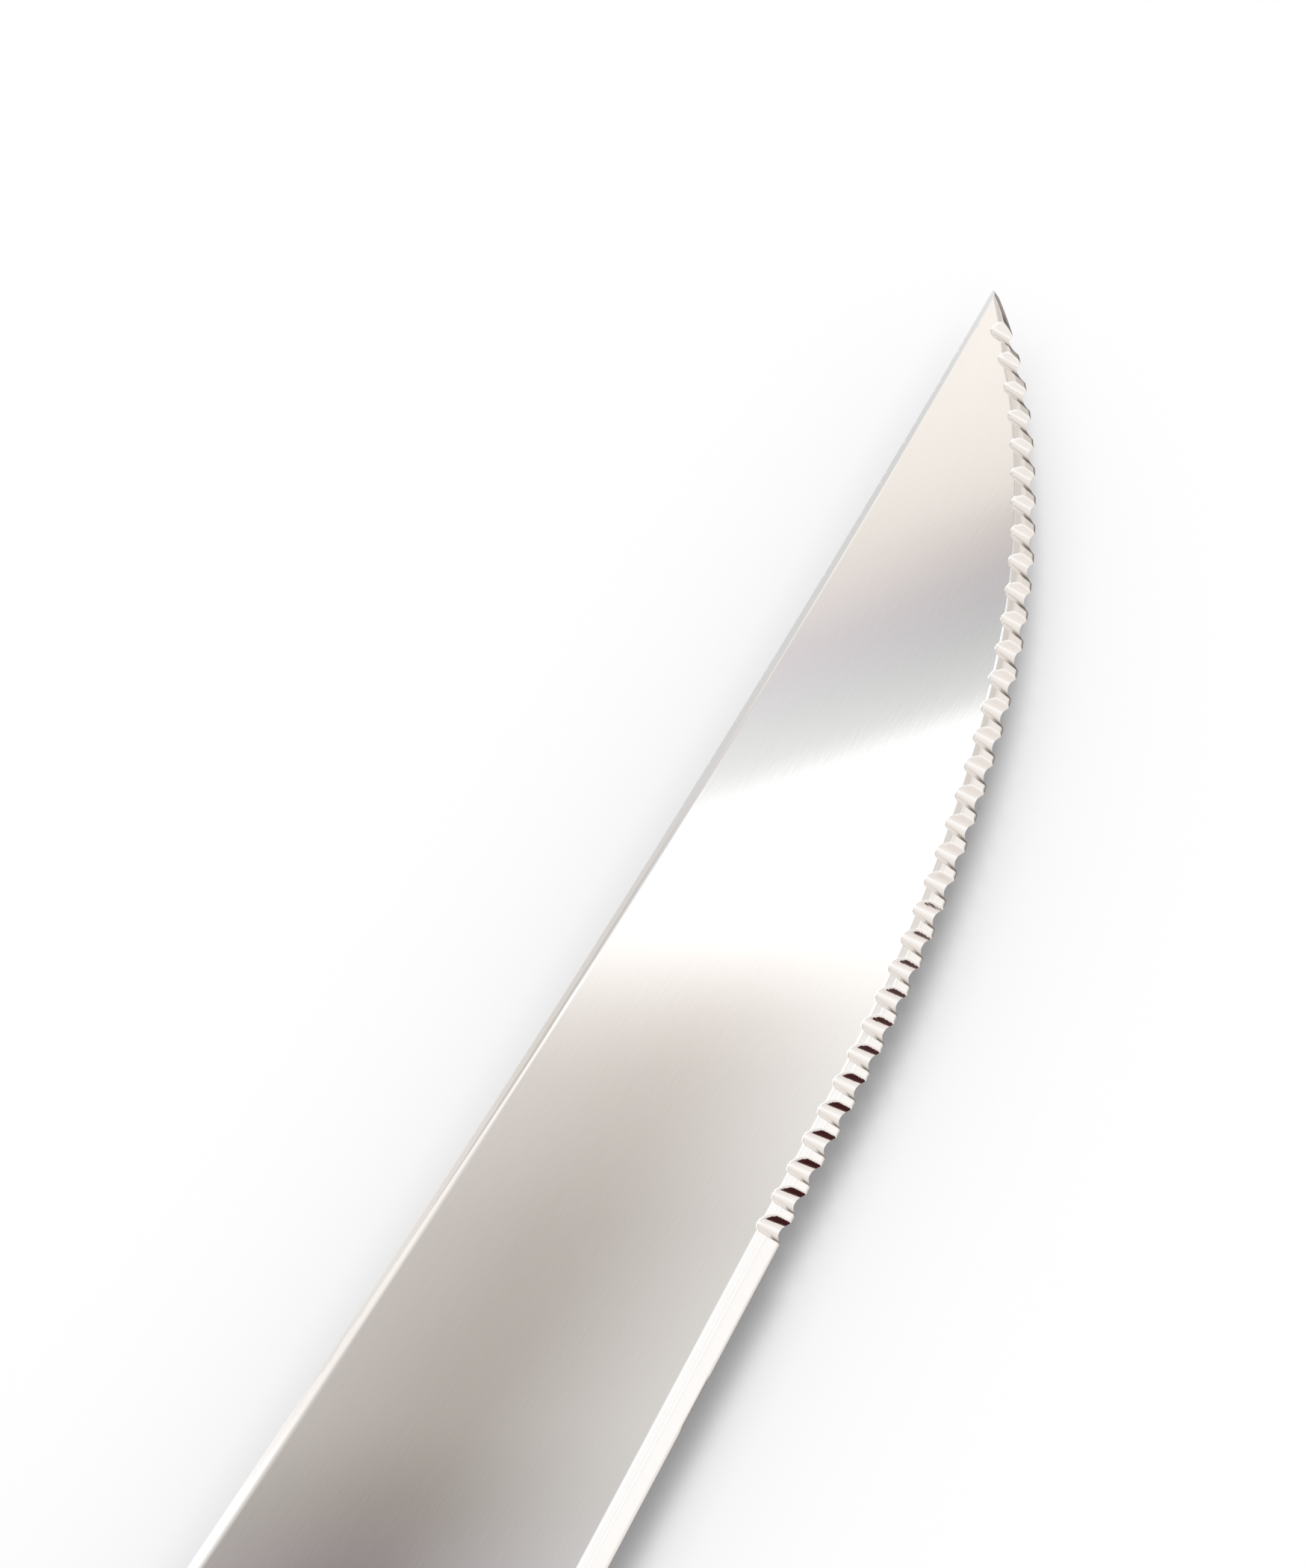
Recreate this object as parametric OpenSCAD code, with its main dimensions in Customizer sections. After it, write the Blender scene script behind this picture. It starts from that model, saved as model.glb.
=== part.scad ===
// Steak knife with a full tang, lying on its side on the flat of its handle.
// +X runs to the tip, +Y to the spine and +Z up. The origin lies on the flat outer
// face of the lower slab, halfway between the front and the middle rivet, close to
// the point where the knife balances.

/* [Blade outline] */
// Length of the blade, from the front of the handle to its rounded tip
blade_len = 112; // [106:1:124]
// Angle between the axis and the edge at the tip
tip_angle = 50; // [47:1:53]
// Radius that takes the needle point off the tip
tip_r = 0.3; // [0.2:0.05:0.5]
// Radius of the belly next to the tip
belly_tip_r = 34; // [30:1:40]
// Turn of the belly next to the tip
belly_tip_turn = 16; // [13:1:18]
// Radius of the belly in its middle stretch
belly_mid_r = 60; // [54:1:70]
// Turn of the belly in its middle stretch
belly_mid_turn = 18.5; // [16:0.5:20]
// Radius of the belly where it runs into the straight heel
belly_heel_r = 130; // [110:5:140]
// Angle between the axis and the edge along the straight heel
heel_angle = 3; // [2.6:0.1:4]
// Radius of the shallow hollow in the spine
spine_r = 1450; // [1200:50:2500]
// Distance from the tip to the lowest point of that hollow
spine_low = 50; // [40:1:60]
// Length of steel between the heel's corner and the front of the handle
heel_gap = 4.5; // [3.5:0.5:8]
// Length of the curved step from the heel up to the handle
choil_len = 3.5; // [2:0.5:3.5]

/* [Blade section] */
// Thickness of the steel strip
blade_t = 1.4; // [1.2:0.1:2.2]
// Width of the bevel ground on the belly, seen from above
bevel_w = 0.8; // [0.6:0.05:1]
// Share of the bevel's width that is left at the tip
bevel_tip_share = 0.4; // [0.3:0.1:1]
// Length of edge over which the bevel grows to its full width
bevel_run = 6; // [3:0.5:10]
// Width of the buffed border between the bevel and the face
arris_w = 0.5; // [0.3:0.05:0.8]
// Height that the buffed border falls
arris_drop = 0.25; // [0.1:0.05:0.3]
// Thickness of the cutting edge below the bevel
edge_land = 0.1; // [0.05:0.05:0.2]
// Width of the softened border of the spine
spine_arris_w = 0.55; // [0.3:0.05:0.8]
// Share of that width that is left at the tip
spine_tip_share = 0.4; // [0.2:0.1:1]
// Height that the softened border of the spine falls
spine_arris_drop = 0.25; // [0.1:0.05:0.4]

/* [Serration] */
// Number of flutes ground into the belly
flute_count = 32; // [24:1:36]
// Distance from one flute to the next along the edge
flute_pitch = 1.99; // [1.8:0.01:2.2]
// Length of edge ahead of the first flute, from the unrounded tip
flute_start = 3; // [2:0.1:6]
// Radius of the grinding wheel's ribs
flute_r = 1.1; // [1.05:0.05:1.3]
// Depth of a flute at the cutting edge
flute_in = 0.33; // [0.2:0.01:0.4]
// Angle between the bottom of a flute and the face
flute_angle = 50; // [46:0.5:58]
// Heading of the edge to which the flutes stand square, all in one direction
flute_heading = 25; // [18:1:32]
// Share of the pitch that a rib of the wheel may cut
flute_width_share = 0.93; // [0.8:0.01:0.95]

/* [Handle] */
// Length of the handle
handle_len = 114; // [106:1:124]
// Height of the handle at its front, from the spine side to the edge side
handle_h = 19; // [17:0.5:21]
// Thickness of each slab
scale_t = 6.5; // [5:0.5:9]
// Width of the rounding along the slab's outer edge
round_w = 4; // [2.5:0.5:5]
// Height of that rounding
round_h = 4.5; // [2.5:0.5:4.5]
// Length of the rounding at the slab's front
front_round = 3; // [1:0.5:5]

/* [Rivets] */
// Distance from the front of the handle to the first rivet
rivet_first = 17; // [12:1:20]
// Distance from the last rivet to the butt of the handle
rivet_last = 17; // [14:1:22]
// Height of the row of rivets above the knife's axis
rivet_line = 0.3; // [-1:0.1:1]
// Diameter of a rivet's head
rivet_head_d = 8; // [7:0.5:9]
// Thickness of a rivet's head
rivet_head_t = 1.5; // [1:0.1:2]
// Small chamfer on the rim of a head
rivet_rim = 0.25; // [0.1:0.05:0.5]
// Outer diameter of the hollow half
sleeve_d = 5; // [4.5:0.1:6]
// Diameter of the solid half's shank
pin_d = 3; // [2.5:0.1:3.5]
// Clearance all round the sleeve and the heads
rivet_gap = 0.05; // [0.02:0.01:0.15]
// Clearance all round the shank inside the sleeve
pin_gap = 0.02; // [0.01:0.01:0.05]
// Clearance at the ends of the sleeve and the shank
rivet_end_gap = 0.3; // [0.1:0.1:0.6]

/* [Hidden] */

// One overrun serves all cuts.
over = 0.5;

// Steps along curves: a full turn of a round hole, and stations on the long lines
$fn = 64;
belly_steps = 56;
spine_steps = 24;
corner_steps = 8;
handle_steps = 10;
round_steps = 5;

// Places along X and Z. The rivets are spread evenly between the first and the last.
rivet_pitch = (handle_len - rivet_first - rivet_last) / 2;
handle_front_x = rivet_first + rivet_pitch / 2;
tip_x = handle_front_x + blade_len;
heel_x = handle_front_x + heel_gap;
handle_t = 2 * scale_t + blade_t;

// Small helpers: a list from its end down to the item first, and the two directions
// that belong to a heading, the angle between the edge and the axis
function reversed(list, first = 0) = [for (i = [len(list) - 1 : -1 : first]) list[i]];
function inward(a) = [-sin(a), cos(a)];
function onward(a) = [-cos(a), -sin(a)];

// Spine, a shallow hollow arc that ends level with the top of the handle
spine_low_x = tip_x - spine_low;
function spine_rise(x) = spine_r - sqrt(pow(spine_r, 2) - pow(x - spine_low_x, 2));
spine_low_y = handle_h / 2 - spine_rise(handle_front_x);
function spine_y(x) = spine_low_y + spine_rise(x);

// Corner where the spine and the belly would meet, and the arc that rounds it
tip_half = (tip_angle - asin(spine_low / spine_r)) / 2;
corner_x = tip_x + tip_r * (cos(tip_angle - tip_half) / sin(tip_half) - 1);
tip_corner = [corner_x, spine_y(corner_x)];
tip_run = tip_r / tan(tip_half);
tip_center = tip_corner + tip_r / sin(tip_half) * onward(tip_angle - tip_half);
tip_arc = [
    for (i = [0 : corner_steps])
        let (a = tip_angle - 90 + (180 - 2 * tip_half) * i / corner_steps)
        tip_center + tip_r * [cos(a), sin(a)]
];

// Belly, three tangent arcs and a straight, by the length s along it from that corner
function arc_len(r, turn) = r * turn * PI / 180;
function arc_turn(r, s) = s / r * 180 / PI;
belly_a1 = tip_angle - belly_tip_turn;
belly_a2 = belly_a1 - belly_mid_turn;
belly_s1 = arc_len(belly_tip_r, belly_tip_turn);
belly_s2 = belly_s1 + arc_len(belly_mid_r, belly_mid_turn);
belly_s3 = belly_s2 + arc_len(belly_heel_r, belly_a2 - heel_angle);
function heading(s) =
    s < belly_s1 ? tip_angle - arc_turn(belly_tip_r, s)
    : s < belly_s2 ? belly_a1 - arc_turn(belly_mid_r, s - belly_s1)
    : s < belly_s3 ? belly_a2 - arc_turn(belly_heel_r, s - belly_s2)
    : heel_angle;
function arc_from(p, r, a, b) = p + r * (inward(a) - inward(b));
belly_p1 = arc_from(tip_corner, belly_tip_r, tip_angle, belly_a1);
belly_p2 = arc_from(belly_p1, belly_mid_r, belly_a1, belly_a2);
belly_p3 = arc_from(belly_p2, belly_heel_r, belly_a2, heel_angle);
function belly(s) =
    s < belly_s1 ? arc_from(tip_corner, belly_tip_r, tip_angle, heading(s))
    : s < belly_s2 ? arc_from(belly_p1, belly_mid_r, belly_a1, heading(s))
    : s < belly_s3 ? arc_from(belly_p2, belly_heel_r, belly_a2, heading(s))
    : belly_p3 + (s - belly_s3) * onward(heel_angle);
heel_s = belly_s3 + (belly_p3[0] - heel_x) / cos(heel_angle);
heel_y = belly(heel_s)[1];
belly_stations = [for (i = [0 : belly_steps]) belly_s3 * i / belly_steps, heel_s];

// Outline of the handle, which the tang and both slabs share. Each side is three
// cubic curves in shares of the handle's length and of its height at the front.
handle_x_shares = [[0, 0.12, 0.24, 0.36], [0.36, 0.52, 0.7, 0.86], [0.86, 0.95, 1, 1]];
handle_top_shares = [
    [0.5, 0.53, 0.56, 0.577], [0.577, 0.601, 0.61, 0.537], [0.537, 0.495, 0.34, -0.1]
];
handle_bottom_shares = [
    [-0.5, -0.458, -0.49, -0.548], [-0.548, -0.625, -0.453, -0.574], [-0.574, -0.64, -0.58, -0.1]
];
function cubic(p, t) =
    p[0] * pow(1 - t, 3) + 3 * p[1] * t * pow(1 - t, 2) + 3 * p[2] * pow(t, 2) * (1 - t) + p[3] * pow(t, 3);
function handle_point(shares, k, t) =
    [handle_front_x - handle_len * cubic(handle_x_shares[k], t), handle_h * cubic(shares[k], t)];
function handle_side(shares) = [
    for (k = [0 : 2]) for (i = [0 : handle_steps - 1]) handle_point(shares, k, i / handle_steps)
];
handle_butt = handle_point(handle_top_shares, 2, 1);
handle_line = concat(
    handle_side(handle_top_shares), [handle_butt], reversed(handle_side(handle_bottom_shares))
);

// Outline of the steel, blade and tang in one: from the front of the handle round its
// butt and back, then the heel, the belly, the tip and the spine
choil_line = [
    for (i = [0 : corner_steps])
        let (a = 90 * i / corner_steps)
        [heel_x - choil_len * (1 - cos(a)), heel_y - (heel_y + handle_h / 2) * sin(a)]
];
spine_line = [
    for (i = [1 : spine_steps - 1])
        let (x = corner_x - tip_run - (corner_x - tip_run - handle_front_x) * i / spine_steps)
        [x, spine_y(x)]
];
steel_line = concat(
    handle_line,
    reversed(choil_line, 1),
    reversed([for (s = belly_stations) if (s > tip_run) belly(s)]),
    tip_arc,
    spine_line
);

// A closed skin through sections of as many points each. Seen from outside the first
// section they run clockwise, and cap_faces closes that one.
module skin(sections, cap_faces) {
    m = len(sections[0]);
    last = len(sections) - 1;
    sides = [
        for (k = [0 : last - 1]) for (i = [0 : m - 1])
            let (j = (i + 1) % m)
            [k * m + i, (k + 1) * m + i, (k + 1) * m + j, k * m + j]
    ];
    far_caps = [for (face = cap_faces) [for (i = reversed(face)) last * m + i]];
    polyhedron(points = [for (s = sections) each s], faces = concat(sides, cap_faces, far_caps));
}

// What grinding takes off the belly, outside the bevel and its buffed border
function on_belly(s, inset, z) =
    let (p = belly(s) + inset * inward(heading(s))) [p[0], p[1], z];
module belly_grind() {
    bevel_top = blade_t - arris_drop;
    arris_end = blade_t + arris_drop * over / arris_w;
    skin([
        for (s = concat([-over], belly_stations, [heel_s + over]))
            let (
                grown = min(1, max(0, s) / bevel_run),
                w = bevel_w * (bevel_tip_share + (1 - bevel_tip_share) * grown)
            )
            [
                on_belly(s, -over, edge_land - (bevel_top - edge_land) * over / w),
                on_belly(s, -over, blade_t + over),
                on_belly(s, w + arris_w + over, arris_end),
                on_belly(s, w, bevel_top)
            ]
    ], [[0, 1, 2, 3]]);
}

// What buffing takes off the spine, outside its softened border on the upper face
module spine_grind() {
    skin([
        for (i = [-1 : spine_steps])
            let (
                x = corner_x - (corner_x - handle_front_x) * i / spine_steps,
                grown = max(0, i) / spine_steps,
                w = spine_arris_w * (spine_tip_share + (1 - spine_tip_share) * grown),
                slope = spine_arris_drop / w
            )
            [
                [x, spine_y(x) + over, blade_t - spine_arris_drop - over * slope],
                [x, spine_y(x) - w - over, blade_t + over * slope],
                [x, spine_y(x) + over, blade_t + over]
            ]
    ], [[0, 1, 2]]);
}

// One rib of the grinding wheel, at the length s along the belly. It rises inward. The
// blade keeps one direction against the wheel, so the flutes don't turn with the edge.
module flute(s) {
    translate(on_belly(s, flute_in, 0))
        rotate([0, 90 - flute_angle, 90 + flute_heading])
        translate([-flute_r, 0, -over])
        linear_extrude(blade_t / sin(flute_angle) + 2 * over)
        intersection() {
            circle(flute_r);
            square([2 * flute_r + over, flute_pitch * flute_width_share], center = true);
        }
}
module flutes() {
    for (i = [0 : flute_count - 1]) flute(flute_start + flute_pitch * (i + 1 / 2));
}

// Places of the three rivets, and the holes for their sleeves
module at_rivet(i) {
    translate([handle_front_x - rivet_first - rivet_pitch * i, rivet_line, 0]) children();
}
module sleeve_holes(depth) {
    for (i = [0 : 2]) at_rivet(i)
        translate([0, 0, -over]) cylinder(h = depth + 2 * over, d = sleeve_d + 2 * rivet_gap);
}

module blade() {
    color("gainsboro") translate([0, 0, scale_t]) difference() {
        linear_extrude(blade_t) polygon(steel_line);
        belly_grind();
        spine_grind();
        translate([0, 0, blade_t]) mirror([0, 0, 1]) spine_grind();
        flutes();
        sleeve_holes(blade_t);
    }
}

// One slab, its inner face at z = 0 and its flat outer face at z = scale_t. A ring at
// the angle a up the rounding is drawn in from the outline, and back from the front.
function line_inward(i) =
    let (
        a = handle_line[max(0, i - 1)],
        b = handle_line[min(len(handle_line) - 1, i + 1)],
        d = (b - a) / norm(b - a)
    )
    [-d[1], d[0]];
function slab_ring(a, z) = [
    for (i = [0 : len(handle_line) - 1])
        let (
            q = handle_line[i] + round_w * (1 - cos(a)) * line_inward(i),
            ahead_share = (q[0] - handle_butt[0]) / handle_len
        )
        [q[0] - front_round * (1 - cos(a)) * ahead_share, q[1], z]
];
module slab() {
    half = floor(len(handle_line) / 2);
    color("saddlebrown") difference() {
        skin(concat(
            [slab_ring(0, 0)],
            [
                for (k = [0 : round_steps])
                    let (a = 90 * k / round_steps)
                    slab_ring(a, scale_t - round_h * (1 - sin(a)))
            ]
        ), concat(
            [for (i = [0 : half - 2]) [i, i + 1, 2 * half - i - 1, 2 * half - i]],
            [[half - 1, half, half + 1]]
        ));
        sleeve_holes(scale_t);
        for (i = [0 : 2]) at_rivet(i)
            translate([0, 0, scale_t - rivet_head_t])
            cylinder(h = rivet_head_t + over, d = rivet_head_d + 2 * rivet_gap);
    }
}
module scale_lower() {
    translate([0, 0, scale_t]) mirror([0, 0, 1]) slab();
}
module scale_upper() {
    translate([0, 0, scale_t + blade_t]) slab();
}

// The two halves of a rivet, the sleeve from its head up and the pin from its head down
shank_len = handle_t - rivet_head_t - rivet_end_gap;
module rivet_head() {
    cylinder(h = rivet_rim, d1 = rivet_head_d - 2 * rivet_rim, d2 = rivet_head_d);
    translate([0, 0, rivet_rim]) cylinder(h = rivet_head_t - rivet_rim, d = rivet_head_d);
}
module rivet_sleeve() {
    color("silver") difference() {
        union() {
            rivet_head();
            cylinder(h = shank_len, d = sleeve_d);
        }
        translate([0, 0, rivet_head_t]) cylinder(h = shank_len, d = pin_d + 2 * pin_gap);
    }
}
module rivet_pin() {
    color("silver") translate([0, 0, handle_t]) mirror([0, 0, 1]) {
        rivet_head();
        cylinder(h = shank_len, d = pin_d);
    }
}
module rivet_sleeve_front() { at_rivet(0) rivet_sleeve(); }
module rivet_sleeve_middle() { at_rivet(1) rivet_sleeve(); }
module rivet_sleeve_rear() { at_rivet(2) rivet_sleeve(); }
module rivet_pin_front() { at_rivet(0) rivet_pin(); }
module rivet_pin_middle() { at_rivet(1) rivet_pin(); }
module rivet_pin_rear() { at_rivet(2) rivet_pin(); }

blade();
scale_lower();
scale_upper();
rivet_sleeve_front();
rivet_sleeve_middle();
rivet_sleeve_rear();
rivet_pin_front();
rivet_pin_middle();
rivet_pin_rear();
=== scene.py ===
"""Looks of the steak knife: a finely ground blade, wooden slabs and steel rivets."""
import math

import bpy
import numpy as np
from mathutils import Matrix, Vector
from mathutils.geometry import delaunay_2d_cdt


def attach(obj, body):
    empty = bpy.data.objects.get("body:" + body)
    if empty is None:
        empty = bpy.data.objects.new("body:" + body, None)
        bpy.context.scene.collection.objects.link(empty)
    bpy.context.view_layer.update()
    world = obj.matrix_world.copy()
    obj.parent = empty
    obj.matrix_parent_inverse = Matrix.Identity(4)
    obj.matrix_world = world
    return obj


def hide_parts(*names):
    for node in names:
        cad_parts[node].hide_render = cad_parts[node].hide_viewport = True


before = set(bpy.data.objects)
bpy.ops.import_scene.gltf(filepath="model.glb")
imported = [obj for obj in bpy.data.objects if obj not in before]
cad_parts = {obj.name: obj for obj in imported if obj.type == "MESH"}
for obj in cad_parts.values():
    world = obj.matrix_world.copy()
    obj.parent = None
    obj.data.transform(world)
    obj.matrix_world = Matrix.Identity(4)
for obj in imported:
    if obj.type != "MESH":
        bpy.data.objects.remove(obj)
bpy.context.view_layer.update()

MM = 0.001

# Named lengths of the part, in millimetres, and angles in degrees, as its source has them
BLADE_LEN, BLADE_T = 112.0, 1.4
TIP_ANGLE, TIP_R = 50.0, 0.3
BELLY = ((34.0, 16.0), (60.0, 18.5))
BELLY_HEEL_R, HEEL_ANGLE = 130.0, 3.0
SPINE_R, SPINE_LOW = 1450.0, 50.0
HEEL_GAP, CHOIL_LEN = 4.5, 3.5
BEVEL_W, BEVEL_TIP_SHARE, BEVEL_RUN = 0.8, 0.4, 6.0
ARRIS_W, ARRIS_DROP, EDGE_LAND = 0.5, 0.25, 0.1
SPINE_ARRIS_W, SPINE_TIP_SHARE, SPINE_ARRIS_DROP = 0.55, 0.4, 0.25
FLUTES, FLUTE_PITCH, FLUTE_START = 32, 1.99, 3.0
FLUTE_R, FLUTE_IN, FLUTE_ANGLE, FLUTE_HEADING = 1.1, 0.33, 50.0, 25.0
HANDLE_LEN, HANDLE_H, SCALE_T = 114.0, 19.0, 6.5
ROUND_W, ROUND_H, FRONT_ROUND = 4.0, 4.5, 3.0
RIVET_FIRST, RIVET_LAST, RIVET_LINE = 17.0, 17.0, 0.3
HEAD_D, HEAD_T, HEAD_RIM = 8.0, 1.5, 0.25
SLEEVE_D, PIN_D, RIVET_GAP, PIN_GAP, END_GAP = 5.0, 3.0, 0.05, 0.02, 0.3

RIVET_PITCH = (HANDLE_LEN - RIVET_FIRST - RIVET_LAST) / 2
FRONT_X = RIVET_FIRST + RIVET_PITCH / 2
TIP_X = FRONT_X + BLADE_LEN
HEEL_X = FRONT_X + HEEL_GAP
HANDLE_T = 2 * SCALE_T + BLADE_T
RIVET_X = [FRONT_X - RIVET_FIRST - RIVET_PITCH * i for i in range(3)]
SLEEVE_HOLE_R, HEAD_HOLE_R = SLEEVE_D / 2 + RIVET_GAP, HEAD_D / 2 + RIVET_GAP

# Forms that only the looks have: lengths and softness in millimetres, slopes and shares
ARRIS_SOFT, BEVEL_SOFT, RIDGE_SOFT, SPINE_SOFT = 0.03, 0.12, 0.09, 0.17
ARRIS_TIP_DROP, ARRIS_TIP_RUN = 0.1, 0.3
LIP_SLOPE, LIP_LAND, LIP_SOFT, MIN_EDGE = 2.6, 0.02, 0.05, 0.02
FLUTE_TAPER, FLUTE_REACH = 0.25, 0.995
FLOOR_R, WALL_AT, WALL_SLOPE, WALL_SOFT = 1.6, 0.45, 0.85, 0.06
SPINE_CORNER_DROP, SPINE_CORNER_SLOPE, SPINE_CORNER_SOFT = 1.15, 1.5, 0.08
SPINE_RUN, ABOVE_ALL = 2.0, 9.0

# Fineness of the meshes: counts, spacings in millimetres, and what counts as a sharp edge
TABLE_BEFORE, TABLE_AFTER, TABLE_STEP, TABLE_CHUNK = 1.0, 2.0, 0.05, 2000
SIDE_STEPS, CHOIL_STEPS, TIP_STEPS, SPINE_STEPS = 36, 12, 10, 139
TIP_MARGIN, FLUTE_MARGIN, PLAIN_MARGIN, HEEL_MARGIN = 0.1, 0.6, 1.0, 0.3
TIP_SPACING, ROWS_PER_FLUTE, PLAIN_SPACING = 0.12, 30, 0.7
BELT_W, BELT_STEP, BELT_OFF_EDGE, BELT_OFF_SPINE = 2.05, 0.075, 0.4, 0.08
SPINE_ROWS = (0.03, 0.07, 0.12, 0.2, 0.28, 0.36, 0.44, 0.52, 0.6, 0.68, 0.76, 0.86, 0.96, 1.08)
SPINE_ROW_POINTS, SPINE_ROW_START, SPINE_ROW_END, SPINE_ROW_LAP = 170, 1.2, 0.05, 4.0
FRONT_MARGIN, CHOIL_MARGIN = 0.01, 0.02
DEPTH_HALVINGS, DEPTH_BEYOND, DEPTH_LEAST = 30, 0.1, 1e-4
HOLE_STEPS, RING_STEPS, LATHE_STEPS, DOME_STEPS, RIM_STEPS = 64, 14, 96, 8, 4
SLAB_SHARP, RIVET_SHARP, CREASE = math.radians(35), math.radians(30), 0.9
SLOPE_STEP, MERGE_WITHIN = 0.004, 1e-7


# Outline of the blade, by the length s along the belly from its unrounded corner
def inward(a):
    return np.stack([-np.sin(a), np.cos(a)], -1)


def onward(a):
    return np.stack([-np.cos(a), -np.sin(a)], -1)


def spine_rise(x):
    return SPINE_R - np.sqrt(SPINE_R**2 - (x - (TIP_X - SPINE_LOW)) ** 2)


def spine_y(x):
    return HANDLE_H / 2 - spine_rise(FRONT_X) + spine_rise(x)


TIP_HALF = math.radians(TIP_ANGLE - math.degrees(math.asin(SPINE_LOW / SPINE_R))) / 2
TIP_LEAN = math.cos(math.radians(TIP_ANGLE) - TIP_HALF) / math.sin(TIP_HALF)
CORNER_X = TIP_X + TIP_R * (TIP_LEAN - 1)
CORNER = np.array([CORNER_X, float(spine_y(CORNER_X))])
TIP_RUN = TIP_R / math.tan(TIP_HALF)


def belly_arcs():
    """The belly's tangent arcs: start length, start point, start heading, radius."""
    rows, s, p, a = [], 0.0, CORNER, math.radians(TIP_ANGLE)
    turns = [*BELLY, (BELLY_HEEL_R, TIP_ANGLE - sum(t for _, t in BELLY) - HEEL_ANGLE)]
    for r, turn in turns:
        rows.append((s, p, a, r))
        b = a - math.radians(turn)
        p = p + r * (inward(np.array(a)) - inward(np.array(b)))
        s, a = s + r * math.radians(turn), b
    rows.append((s, p, a, None))
    return rows


ARCS = belly_arcs()
STRAIGHT_S, STRAIGHT_START = ARCS[-1][:2]
HEEL_S = STRAIGHT_S + (STRAIGHT_START[0] - HEEL_X) / math.cos(math.radians(HEEL_ANGLE))


def belly(s):
    """Points on the belly and its headings in radians, at the lengths s."""
    s = np.asarray(s, float)
    point, heading = np.zeros(s.shape + (2,)), np.zeros(s.shape)
    for k, (s0, p0, a0, r) in enumerate(ARCS):
        here = s >= s0 if k else np.ones(s.shape, bool)
        if r is None:
            a = np.full(s.shape, a0)
            p = p0 + (s - s0)[..., None] * onward(a)
        else:
            a = a0 - (s - s0) / r
            p = p0 + r * (inward(np.full(s.shape, a0)) - inward(a))
        point[here], heading[here] = p[here], a[here]
    return point, heading


BELLY_TABLE_S = np.arange(-TABLE_BEFORE, HEEL_S + TABLE_AFTER, TABLE_STEP)
BELLY_TABLE_P, BELLY_TABLE_A = belly(BELLY_TABLE_S)
FLUTE_SKEW = np.tan(math.radians(FLUTE_HEADING) - BELLY_TABLE_A)


def belly_coords(xy):
    """Length along the belly and distance inward from it, for points near it."""
    out = np.zeros((len(xy), 2))
    for k in range(0, len(xy), TABLE_CHUNK):
        part = xy[k:k + TABLE_CHUNK]
        i = ((part[:, None] - BELLY_TABLE_P[None]) ** 2).sum(-1).argmin(1)
        d = part - BELLY_TABLE_P[i]
        out[k:k + TABLE_CHUNK, 0] = BELLY_TABLE_S[i] + (d * onward(BELLY_TABLE_A[i])).sum(-1)
        out[k:k + TABLE_CHUNK, 1] = (d * inward(BELLY_TABLE_A[i])).sum(-1)
    return out


def belly_point(s, d):
    p, a = belly(s)
    return p + d[:, None] * inward(a)


# Height of the ground upper face. Each smooth minimum rounds one kind of edge.
def smooth_min(a, b, k):
    h = np.maximum(k - np.abs(a - b), 0) / k
    return np.minimum(a, b) - h * h * k / 4


def grow(first, share):
    return first + (1 - first) * share


def plain_grind(s, d):
    """The bevel, the arris above it and the thin lip of the cutting edge."""
    grown = np.clip(s / BEVEL_RUN, 0, 1)
    w = BEVEL_W * grow(BEVEL_TIP_SHARE, grown)
    drop, run = ARRIS_DROP * grow(ARRIS_TIP_DROP, grown), ARRIS_W * grow(ARRIS_TIP_RUN, grown)
    top = BLADE_T - drop
    bevel = EDGE_LAND + (top - EDGE_LAND) * d / w
    arris = top + drop * (d - w) / run
    lip = LIP_LAND + LIP_SLOPE * d
    ground = smooth_min(smooth_min(bevel, arris, BEVEL_SOFT), lip, LIP_SOFT)
    return smooth_min(ground, np.full(np.shape(d), BLADE_T), ARRIS_SOFT)


def flute_profile(w, narrowed):
    """Rise of a flute's ground at the distance w from its middle, with a wall on the tip's side."""
    r = np.where(w < 0, FLOOR_R, FLUTE_R)
    floor = r - np.sqrt(np.maximum(r**2 - (w * narrowed)**2, 1e-6))
    foot = FLOOR_R - math.sqrt(FLOOR_R**2 - WALL_AT**2)
    wall = foot - WALL_SLOPE * (w + WALL_AT / narrowed)
    return -smooth_min(-floor, -wall, WALL_SOFT)


def flute_grind(s, d):
    """The lowest of the nearest flutes, which all run in one direction over the blade."""
    a = math.radians(FLUTE_ANGLE)
    low = np.full(np.shape(d), ABOVE_ALL)
    at_edge = s - np.interp(s, BELLY_TABLE_S, FLUTE_SKEW) * d
    nearest = np.floor((at_edge - FLUTE_START) / FLUTE_PITCH)
    for side in (-1, 0, 1):
        i = np.clip(nearest + side, 0, FLUTES - 1)
        middle = FLUTE_START + FLUTE_PITCH * (i + 0.5)
        w = s - middle - np.interp(middle, BELLY_TABLE_S, FLUTE_SKEW) * d
        narrowed = 1 + FLUTE_TAPER * np.maximum(d, 0)
        inside = np.abs(w) * narrowed < FLUTE_R * FLUTE_REACH
        z = ((d - FLUTE_IN) * math.sin(a) + flute_profile(w, narrowed)) / math.cos(a)
        low = np.minimum(low, np.where(inside, z, ABOVE_ALL))
    return low


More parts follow.
